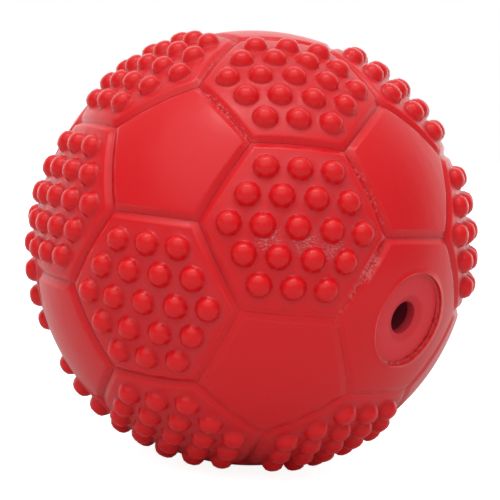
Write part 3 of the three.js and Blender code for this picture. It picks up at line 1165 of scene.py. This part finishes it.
    def squeaker_hexagon(self) -> Piece:
        """Models the smooth hexagon with the stepped socket that the squeaker is pushed into.

        Returns:
            The panel, with its inner surface and without the wall between them.
        """
        lip_edge = self.socket_radius + self.lip_width
        flat_lip = self.panel_radius * math.tan(math.asin(lip_edge / self.panel_radius))
        lip = self.round_ring(flat_lip, self.panel_radius)
        panel = self.bridged("squeaker_panel", lip, self.shoulder_outline(6), self.squeaker_rings)
        panel = self.wrapped(self.with_banks(panel, 6), self.panel_radius)
        height = math.sqrt(self.panel_radius**2 - lip_edge**2)
        boss_reach = self.boss_radius + self.boss_flare
        profile = [
            (lip_edge, height),
            *((lip_edge - distance, height + rise) for distance, rise in self.lip),
            (self.socket_radius, self.socket_floor),
            (self.bore_radius, self.socket_floor),
            (self.bore_radius, self.boss_foot),
            (self.boss_radius, self.boss_foot),
            (boss_reach, math.sqrt(self.inner_radius**2 - boss_reach**2)),
        ]
        with editing(panel):
            pick("edges", lambda edge: (
                edge.is_boundary and edge.verts[0].co.xy.length < lip_edge + TOUCH
            ))
            for (radius, height), (next_radius, next_height) in pairwise(profile):
                grow_edge(next_radius / radius, next_height - height)
        # Painted highlight: the lip's rings get the edge mark, which the finish paints paler
        edge = panel.data.attributes["edge"]
        for point in panel.data.vertices:
            in_lip = self.socket_radius + TOUCH < point.co.xy.length < lip_edge - TOUCH
            if in_lip and point.co.z > self.face_height:
                edge.data[point.index].value = self.lip_highlight_mark
        return joined("squeaker_panel", [panel, self.inner_sheet_with_hole(boss_reach)])

    def inner_sheet_with_hole(self, hole_radius: float) -> Piece:
        """Models the inner surface of the squeaker's hexagon, with a hole where the boss stands.

        Args:
            hole_radius: The hole's radius.

        Returns:
            The sheet, wrapped at the inner radius.
        """
        lean = math.asin(hole_radius / self.inner_radius)
        hole = self.round_ring(self.inner_radius * math.tan(lean), self.inner_radius)
        sheet = self.bridged("inner_sheet", hole, self.inner_outline(6), cuts=1)
        return self.wrapped(sheet, self.inner_radius)


@dataclass(frozen=True)
class RubberBall:
    """The hollow ball: two moulded halves, bonded along a seam that runs in the grooves."""

    pattern: PanelPattern = PanelPattern()
    shapes: PanelShapes = PanelShapes()
    finish: MouldedRubber = MouldedRubber()
    sharp_angle: float = 50

    # How far from the seam torn flash is left, and how many points stand for each edge of the seam
    flash_reach: float = 1.3 * MM
    seam_points: int = 4

    # Where the grooves are shallow: the middle, full reach and outer reach of each area, in
    # millimetres, and the share of their depth that is left there
    shallow_areas: tuple[tuple[Vector, float, float], ...] = (
        (Vector((4.5, -31.8, -15.9)), 12.5, 21.0),
        (Vector((25.5, -20.5, -14.5)), 6.0, 14.0),
    )
    shallow_share: float = 0.45

    def build(self) -> list[Piece]:
        """Models and dresses both halves.

        Returns:
            The plain half and the half with the squeaker's socket.
        """
        panels = self.pattern.panels()
        mould_axis = self.pattern.mould_axis()
        models = {
            PanelKind.PENTAGON: self.shapes.pentagon(),
            PanelKind.NUBBED: self.shapes.nubbed_hexagon(),
            PanelKind.SQUEAKER: self.shapes.squeaker_hexagon(),
        }
        material = self.finish.material()
        halves = []
        for name, side in (("plain_half_shell", 1), ("squeaker_half_shell", -1)):
            own = [panel for panel in panels if panel.axis.dot(mould_axis) * side > 0]
            placed = [copied(models[panel.kind], panel.placement()) for panel in own]
            half = joined(f"{name}_skin", placed)
            self.close_rim(half)
            self.mark_flash(half)
            self.fill_grooves(half)
            half.data.materials.clear()
            half.data.materials.append(material)
            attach(half, "ball")
            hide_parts(name)
            halves.append(half)
        for model in models.values():
            bpy.data.objects.remove(model)
        return halves

    def close_rim(self, half: Piece) -> None:
        """Closes the wall between a half's outer and inner seam lines, and shades the half.

        The inner line lies straight below the outer one, so the wall is the outer line's edges,
        extruded and drawn in towards the ball's centre until they meet the inner line.

        Args:
            half: The half.
        """
        bottom = self.shapes.panel_radius - self.shapes.bank[-1][1]
        shrink = self.shapes.inner_radius / bottom
        middle = 0.5 * (bottom + self.shapes.inner_radius)
        with editing(half):
            pick("edges", lambda edge: edge.is_boundary and edge.verts[0].co.length > middle)
            bpy.ops.mesh.extrude_edges_move()
            bpy.ops.transform.resize(value=(shrink, shrink, shrink), center_override=(0, 0, 0))
        with editing(half, "VERT"):
            bpy.ops.mesh.select_all(action="SELECT")
            bpy.ops.mesh.remove_doubles(threshold=TOUCH)
        smoothed(half, self.sharp_angle)

    def mark_flash(self, half: Piece) -> None:
        """Marks the skin beside the seam, where torn flash is left.

        Args:
            half: The half, which gets the attribute flash.
        """
        bottom = self.shapes.panel_radius - self.shapes.bank[-1][1]
        mesh = bmesh.new()
        mesh.from_mesh(half.data)
        rim = [
            edge for edge in mesh.edges
            if all(abs(vert.co.length - bottom) < TOUCH for vert in edge.verts)
            and any(self.is_rim(face) for face in edge.link_faces)
        ]
        shares = [(step + 0.5) / self.seam_points for step in range(self.seam_points)]
        seam = [edge.verts[0].co.lerp(edge.verts[1].co, share) for edge in rim for share in shares]
        tree = KDTree(len(seam))
        for index, place in enumerate(seam):
            tree.insert(place, index)
        tree.balance()
        mesh.free()
        flash, = marks_on(half, "flash")
        for point in half.data.vertices:
            distance = tree.find(point.co)[2]
            flash.data[point.index].value = max(0.0, 1 - distance / self.flash_reach)

    def fill_grooves(self, half: Piece) -> None:
        """Lifts the banks of the grooves where the mould left them shallow.

        Args:
            half: The half.
        """
        top = self.shapes.panel_radius
        bottom = top - self.shapes.bank[-1][1]
        bank = half.data.attributes["bank"]
        for point in half.data.vertices:
            if bank.data[point.index].value > 0.5 and point.co.length > bottom - TOUCH:
                outwards = point.co.normalized()
                depth = (top - point.co.length) * self.depth_left(outwards * top / MM)
                point.co = outwards * (top - depth)

    def depth_left(self, place: Vector) -> float:
        """Finds how much of a groove's depth is left at a place.

        Args:
            place: The place on the ball, in millimetres.

        Returns:
            The share, which rises smoothly to 1 outside the shallow areas.
        """
        far = 1.0
        for middle, full, outer in self.shallow_areas:
            far *= min(1.0, max(0.0, ((place - middle).length - full) / (outer - full)))
        return self.shallow_share + (1 - self.shallow_share) * far * far * (3 - 2 * far)

    def is_rim(self, face: bmesh.types.BMFace) -> bool:
        """Whether a face lies in the wall between the outer and the inner seam line."""
        lengths = [vert.co.length for vert in face.verts]
        return max(lengths) - min(lengths) > 0.5 * (self.shapes.panel_radius - self.shapes.inner_radius)


# Squeaker


@dataclass(frozen=True)
class Squeaker:
    """The push-in squeaker: its housing, the cement round it, and the reed unit inside."""

    panel: Panel
    shapes: PanelShapes
    flange_radius: float = 7.2 * MM
    hole_radius: float = 2.6 * MM
    hole_length: float = 2.1 * MM
    throat_radius: float = 3.3 * MM
    throat_length: float = 3.4 * MM
    countersink_radius: float = 3.8 * MM
    countersink_depth: float = 0.6 * MM
    barrel_radius: float = 5.0 * MM
    chamber_radius: float = 3.9 * MM
    barb_radius: float = 6.3 * MM
    barb_length: float = 2.2 * MM
    housing_length: float = 15 * MM
    sides: int = 72
    sharp_angle: float = 35

    # Rounded edges: how far each ring lies outside the edge's own circle, and its rise above the edge
    flange_edge: tuple[Place, ...] = (
        (0.0, -0.18 * MM),
        (-0.018 * MM, -0.09 * MM),
        (-0.081 * MM, -0.0216 * MM),
        (-0.18 * MM, 0.0),
    )
    sink_edge: tuple[Place, ...] = (
        (0.35 * MM, 0.0),
        (0.1 * MM, -0.04 * MM),
        (-0.2 * MM, -0.13 * MM),
    )
    hole_edge: tuple[Place, ...] = (
        (0.1 * MM, 0.03 * MM),
        (0.03 * MM, -0.02 * MM),
        (0.0, -0.08 * MM),
    )
    hole_end_edge: tuple[Place, ...] = (
        (0.0, 0.1 * MM),
        (0.1 * MM, 0.0),
    )

    # How dark the painted shade is in the countersink and in the sound hole, when it is 1 in the
    # throat, and how deep a point may lie that still counts as part of the face
    sink_shade_mark: float = 0.14
    hole_shade_mark: float = 0.49
    face_depth: float = 0.1 * MM

    # Cement: how far it stays off the flange and the socket's wall, how deep it reaches there, and its
    # fillet, as each ring's distance from the flange's edge and rise above the face
    cement_gap: float = 0.02 * MM
    cement_depth: float = 0.5 * MM
    cement_sharp_angle: float = 50
    fillet: tuple[Place, ...] = (
        (-0.12 * MM, -0.002 * MM),
        (-0.02 * MM, 0.03 * MM),
        (0.1 * MM, 0.06 * MM),
        (0.21 * MM, 0.12 * MM),
        (0.28 * MM, 0.2 * MM),
    )
    fillet_back: tuple[Place, ...] = (
        (0.01 * MM, -0.14 * MM),
        (-0.04 * MM, -0.03 * MM),
    )

    # Lumps of the cement: the side where it lies heavy, the level of the noise that heaps it, that
    # noise's waves as strength and fineness, and how far a lump rises and spreads over the flange
    heavy_side: Vector = Vector((0.75, -0.66, 0))
    lump_level: float = 0.5
    lump_waves: tuple[Place, ...] = ((0.9, 9), (0.35, 19))
    lump_rise: float = 0.4 * MM
    lump_spread: float = 0.35 * MM

    # Soft polyethylene is waxy: its highlights are wide and weak
    housing_finish: MouldedPlastic = MouldedPlastic(
        name="moulded_soft_polyethylene",
        colour="#EA2E36",
        shade="#E2323A",
        roughness=0.5,
        ior=1.51,
        mottle=Mottle(2.5 * MM),
        shine=0.35,
    )

    # Rubber cement dries darker and glossier than the rubber, with a lumpy skin
    cement_finish: MouldedPlastic = MouldedPlastic(
        name="dried_rubber_cement",
        colour="#C2141E",
        shade="#D62C32",
        roughness=0.28,
        ior=1.5,
        mottle=Mottle(0.8 * MM),
        relief=Relief(0.6, 0.05 * MM),
    )

    # Polystyrene is hard and off-white, with a clean, moulded sheen
    reed_unit_finish: MouldedPlastic = MouldedPlastic(
        name="moulded_polystyrene",
        colour="#F1EFE8",
        shade="#E9E6DC",
        roughness=0.4,
        ior=1.59,
        mottle=Mottle(1.5 * MM),
    )

    # Polyester film is thin, smooth and straw-coloured, with sharp highlights
    film_finish: MouldedPlastic = MouldedPlastic(
        name="polyester_film",
        colour="#E9D9A8",
        shade="#E2CF98",
        roughness=0.22,
        ior=1.64,
        mottle=Mottle(1.0 * MM),
        relief=Relief(0.02, 0.05 * MM),
    )

    def placement(self) -> Matrix:
        """The turn that carries +Z onto the squeaker's axis, with +X level."""
        level = UP.cross(self.panel.axis).normalized()
        return Matrix((level, self.panel.axis.cross(level), self.panel.axis)).transposed().to_4x4()

    def build(self) -> list[Piece]:
        """Models the pieces that show, and dresses the ones that the frame already has.

        Returns:
            The new pieces.
        """
        pieces = [self.housing(), self.cement_bead()]
        unit = self.reed_unit_finish.material()
        finishes = {
            "reed_seat": unit,
            "reed_wedge": unit,
            "inlet_cap": unit,
            "reed": self.film_finish.material(),
        }
        for name, material in finishes.items():
            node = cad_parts[name]
            node.data.materials.clear()
            node.data.materials.append(material)
        return pieces

    def housing(self) -> Piece:
        """Models the housing by turning its profile, with rounded edges on the flange and the hole.

        Returns:
            The housing, in its place.
        """
        top = self.shapes.face_height
        flange_foot = top - self.shapes.flange_thickness
        barb_top = self.shapes.boss_foot - self.shapes.fit_gap
        foot = top - self.housing_length
        sink_foot = top - self.countersink_depth
        hole_end = top - self.hole_length
        throat_end = hole_end - self.throat_length

        # Up the outside from the foot, over the rounded edge of the flange and into the countersink,
        # whose edges are rounded too, and down through the hole, the throat and the chamber
        profile = [
            (self.chamber_radius, foot),
            (self.barrel_radius, foot),
            (self.barrel_radius, barb_top - self.barb_length),
            (self.barb_radius, barb_top),
            (self.barrel_radius, barb_top),
            (self.barrel_radius, flange_foot),
            (self.flange_radius, flange_foot),
            *self.rings(self.flange_edge, self.flange_radius, top),
            (0.5 * (self.flange_radius + self.countersink_radius), top),
            *self.rings(self.sink_edge, self.countersink_radius, top),
            *self.rings(self.hole_edge, self.hole_radius, sink_foot),
            *self.rings(self.hole_end_edge, self.hole_radius, hole_end),
            (self.throat_radius, hole_end),
            (self.throat_radius, throat_end),
            (self.chamber_radius, throat_end),
        ]
        housing = turned_ring("squeaker_housing_turned", profile, self.sides)
        # Painted shade: the depth mark darkens the countersink a little, the sound hole more, and the
        # throat and chamber fully
        depth, = marks_on(housing, "depth")
        marks = (
            (hole_end + TOUCH, 1.0),
            (sink_foot, self.hole_shade_mark),
            (top - self.face_depth, self.sink_shade_mark),
        )
        for point in housing.data.vertices:
            if point.co.xy.length < self.chamber_radius + TOUCH:
                below = [mark for height, mark in marks if point.co.z < height]
                depth.data[point.index].value = below[0] if below else 0.0
        smoothed(housing, self.sharp_angle)
        housing.data.transform(self.placement())
        housing.data.materials.append(self.housing_finish.material())
        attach(housing, "ball")
        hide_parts("squeaker_housing")
        return housing

    def rings(self, edge: Sequence[Place], radius: float, height: float) -> list[Place]:
        """Places the rings of a rounded edge round its own circle."""
        return [(radius + outwards, height + rise) for outwards, rise in edge]

    def cement_bead(self) -> Piece:
        """Models the cement round the flange: a fillet up to the socket's wall, and heavier low down.

        Returns:
            The cement, in its place.
        """
        wall = self.shapes.socket_radius - self.cement_gap
        top = self.shapes.face_height

        # Up over the flange's edge to the wall, down the wall, and back up beside the rounded edge
        profile = [
            *self.rings(self.fillet, self.flange_radius, top),
            (wall, top - self.cement_depth),
            (self.flange_radius + self.cement_gap, top - self.cement_depth),
            *self.rings(self.fillet_back, self.flange_radius, top),
        ]
        bead = turned_ring("cement_bead_uneven", profile, 3 * self.sides)
        for point in bead.data.vertices:
            if point.co.z > top - self.face_depth:
                around = Vector((point.co.x, point.co.y, 0)).normalized()
                heap = self.heaped(around)
                from_wall = (wall - point.co.xy.length) / self.cement_depth
                point.co.z += self.lump_rise * heap
                point.co -= around * self.lump_spread * heap * from_wall
        smoothed(bead, self.cement_sharp_angle)
        bead.data.transform(self.placement())
        bead.data.materials.append(self.cement_finish.material())
        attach(bead, "ball")
        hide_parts("cement_bead")
        return bead

    def heaped(self, around: Vector) -> float:
        """Finds how high the cement is heaped at a place round the flange.

        Args:
            around: The direction of the place from the squeaker's axis.

        Returns:
            The share of a full lump: 0 on the light side, and lumps of two sizes on the heavy side.
        """
        waves = (strength * noise.noise(around * fineness) for strength, fineness in self.lump_waves)
        return max(0.0, self.lump_level + sum(waves)) * max(0.0, around.dot(self.heavy_side))


# Studio


@dataclass(frozen=True)
class Camera:
    """The photograph's camera, as worked out from the corners of the panels.

    Its angles are in degrees. The focal length and the centre, the point of the frame that the axis
    of the lens meets, are in pixels of the frame.
    """

    azimuth: float = 259.4
    elevation: float = 5.15
    roll: float = 5.55
    distance: float = 280 * MM
    focal_pixels: float = 1682.6
    frame_pixels: float = 500
    centre: Place = (251.4, 247.9)
    sensor: float = 36

    def build(self) -> Piece:
        """Makes the camera and looks through it.

        Returns:
            The camera's object.
        """
        azimuth, elevation = math.radians(self.azimuth), math.radians(self.elevation)
        away = Vector((
            math.cos(azimuth) * math.cos(elevation),
            math.sin(azimuth) * math.cos(elevation),
            math.sin(elevation),
        ))
        right = UP.cross(away).normalized()
        level_up = away.cross(right)
        roll = math.radians(self.roll)
        up = level_up * math.cos(roll) - right * math.sin(roll)
        data = bpy.data.cameras.new("camera")
        data.sensor_width = self.sensor
        data.lens = self.focal_pixels / self.frame_pixels * self.sensor
        data.shift_x = (self.frame_pixels / 2 - self.centre[0]) / self.frame_pixels
        data.shift_y = (self.centre[1] - self.frame_pixels / 2) / self.frame_pixels
        data.clip_start = 10 * MM
        camera = bpy.data.objects.new("camera", data)
        camera.matrix_world = Matrix((up.cross(away), up, away)).transposed().to_4x4()
        camera.location = away * self.distance
        bpy.context.collection.objects.link(camera)
        bpy.context.scene.camera = camera
        return camera


@dataclass(frozen=True)
class Lamp:
    """A distant soft lamp: where it stands and how many degrees wide it looks from the ball.

    Its power is in watts per square metre.
    """

    name: str
    direction: Vector
    width: float
    power: float

    def build(self) -> Piece:
        """Makes the lamp.

        Returns:
            The lamp's object.
        """
        data = bpy.data.lights.new(self.name, "SUN")
        data.energy = self.power
        data.angle = math.radians(self.width)
        lamp = bpy.data.objects.new(self.name, data)
        lamp.location = self.direction
        lamp.rotation_euler = self.direction.to_track_quat("Z", "Y").to_euler()
        bpy.context.collection.objects.link(lamp)
        return lamp


@dataclass(frozen=True)
class Studio:
    """A pale floor, a white backdrop behind the ball, a dim room in front of it, and four soft lamps."""

    floor_height: float
    backdrop_side: Vector

    # Matt paper: it has no gloss of its own, and glows so that it is white where no shadow falls
    floor_size: float = 4.0
    floor_colour: str = "#CFCFCF"
    floor_glow: float = 0.9

    # The surround: how it glows behind the ball and in front of it, and how much light it gives
    backdrop_glow: float = 1.0
    room_glow: float = 0.1
    daylight: float = 0.6

    # What gloss mirrors: the floor glows from a distance behind the ball, and the surround is bright
    # up to a share of the way round from the backdrop, brighter low down, and again overhead
    far_floor: Span = (20 * MM, 120 * MM)
    far_floor_glow: float = 0.35
    backdrop_edge: float = 0.8
    low_walls: Span = (0.0, 0.45)
    low_gain: float = 1.6
    ceiling: Span = (0.4, 0.8)
    ceiling_glow: float = 0.4

    lamps: tuple[Lamp, ...] = (
        Lamp("left_lamp", Vector((-0.28, -0.13, 0.95)), width=12, power=0.3),
        Lamp("right_lamp", Vector((0.04, -0.13, 0.99)), width=12, power=0.25),
        Lamp("top_lamp", Vector((-0.3, -0.5, 0.9)), width=75, power=0.92),
        Lamp("front_lamp", Vector((-0.2, -1.0, 0.3)), width=110, power=0.22),
    )

    def build(self) -> None:
        """Makes the floor, the surround and the lamps."""
        self.floor()
        self.world()
        for lamp in self.lamps:
            lamp.build()

    def seen_directly(self, tree: bpy.types.NodeTree, path: bpy.types.Node) -> bpy.types.Node:
        """Makes a flag that is 1 for what the camera sees, straight or through something clear.

        Args:
            tree: The node tree of the material or of the world.
            path: Its Light Path node.

        Returns:
            The node that gives the flag.
        """
        flags = [path.outputs["Is Camera Ray"], path.outputs["Is Transmission Ray"]]
        return add_node(tree, "ShaderNodeMath", flags, operation="MAXIMUM")

    def floor(self) -> None:
        """Makes the floor: pale where light falls on it, and white to the camera out of the shadow."""
        bpy.ops.mesh.primitive_plane_add(size=self.floor_size, location=(0, 0, self.floor_height))
        floor = bpy.context.object
        floor.name = "floor"
        material = bpy.data.materials.new("pale_paper_sweep")
        tree = emptied_tree(material)
        path = add_node(tree, "ShaderNodeLightPath")
        place = add_node(tree, "ShaderNodeTexCoord").outputs["Object"]
        sides = [place, self.backdrop_side]
        behind = add_node(tree, "ShaderNodeVectorMath", sides, operation="DOT_PRODUCT")
        far = add_node(tree, "ShaderNodeMapRange", [behind, *self.far_floor, 0.0, self.far_floor_glow])
        seen = [self.seen_directly(tree, path), self.floor_glow]
        mirrored = [path.outputs["Is Glossy Ray"], far]
        glows = [
            add_node(tree, "ShaderNodeMath", factors, operation="MULTIPLY")
            for factors in (seen, mirrored)
        ]
        strength = add_node(tree, "ShaderNodeMath", glows, operation="ADD")
        paper = add_node(tree, "ShaderNodeBsdfDiffuse", {"Color": linear(self.floor_colour)})
        glow = add_node(tree, "ShaderNodeEmission", {"Strength": strength})
        surface = add_node(tree, "ShaderNodeAddShader", [paper, glow])
        add_node(tree, "ShaderNodeOutputMaterial", {"Surface": surface})
        floor.data.materials.append(material)
        floor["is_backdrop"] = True

    def world(self) -> None:
        """Makes the surround: white to the camera, bright behind the ball and dim in front of it."""
        world = bpy.data.worlds.new("studio_surround")
        bpy.context.scene.world = world
        tree = emptied_tree(world)
        path = add_node(tree, "ShaderNodeLightPath")
        towards = add_node(tree, "ShaderNodeTexCoord").outputs["Generated"]
        sides = [towards, self.backdrop_side]
        behind = add_node(tree, "ShaderNodeVectorMath", sides, operation="DOT_PRODUCT")
        backdrop = add_node(
            tree,
            "ShaderNodeMapRange",
            [behind, 0.0, self.backdrop_edge, self.room_glow, self.backdrop_glow],
            interpolation_type="SMOOTHSTEP",
        )
        height = add_node(tree, "ShaderNodeSeparateXYZ", [towards]).outputs["Z"]
        gain = add_node(tree, "ShaderNodeMapRange", [height, *self.low_walls, self.low_gain, 1.0])
        walls = add_node(tree, "ShaderNodeMath", [backdrop, gain], operation="MULTIPLY")
        ceiling = add_node(tree, "ShaderNodeMapRange", [height, *self.ceiling, 0.0, self.ceiling_glow])
        room = add_node(tree, "ShaderNodeMath", [walls, ceiling], operation="ADD")
        light = {0: path.outputs["Is Glossy Ray"], 2: self.daylight, 3: room}
        unseen = add_node(tree, "ShaderNodeMix", light)
        seen = self.seen_directly(tree, path)
        strength = add_node(tree, "ShaderNodeMix", {0: seen, 2: unseen, 3: 1.0})
        surround = add_node(tree, "ShaderNodeBackground", {"Color": (1, 1, 1, 1), "Strength": strength})
        add_node(tree, "ShaderNodeOutputWorld", {"Surface": surround})


def main() -> None:
    """Builds the camera, the ball, the squeaker and the studio."""
    logging.basicConfig(level=logging.INFO, format="%(name)s: %(message)s")
    cad_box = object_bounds()
    bpy.context.scene.view_settings.view_transform = "Standard"
    camera = Camera().build()
    ball = RubberBall()
    pieces = ball.build()
    socket = next(panel for panel in ball.pattern.panels() if panel.kind is PanelKind.SQUEAKER)
    pieces += Squeaker(socket, ball.shapes).build()
    for piece in pieces:
        LOG.info("%s: %d faces", piece.name, len(piece.data.polygons))
    Studio(cad_box[0].z, -camera.matrix_world.col[2].xyz).build()


if __name__ == "__main__":
    main()
